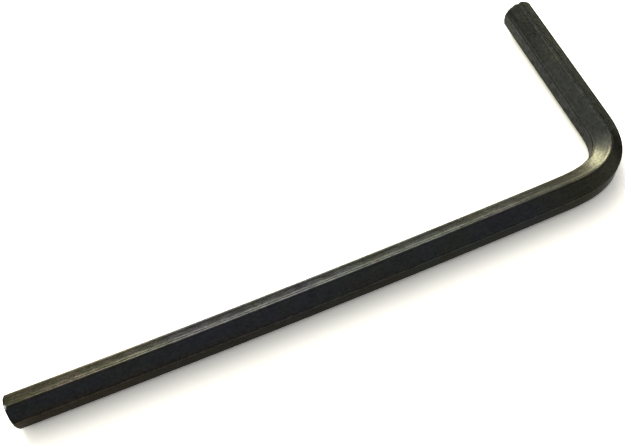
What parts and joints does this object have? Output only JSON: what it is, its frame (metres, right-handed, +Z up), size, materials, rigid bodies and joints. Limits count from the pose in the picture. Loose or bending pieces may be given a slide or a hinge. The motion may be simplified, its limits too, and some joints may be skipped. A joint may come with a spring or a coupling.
{
  "type": "hex key",
  "caption": "L-shaped hex key: a blackened steel bar of hexagonal section with a long arm, a rounded right-angle bend and a short arm, chamfered at both ends.",
  "frame": {"origin": "middle of the key's bounding box, on the surface that it lies on", "axes": "+X along the long arm towards the bend, +Y along the short arm towards its end, +Z up, away from the surface that both arms' bottom ridges lie on"},
  "size_m": [0.0636, 0.0242, 0.0034],
  "materials": {
    "black_steel": "black oxide over drawn steel, slightly oiled"
  },
  "bodies": {
    "root": {"hex_key": "black_steel"}
  },
  "joints": []
}
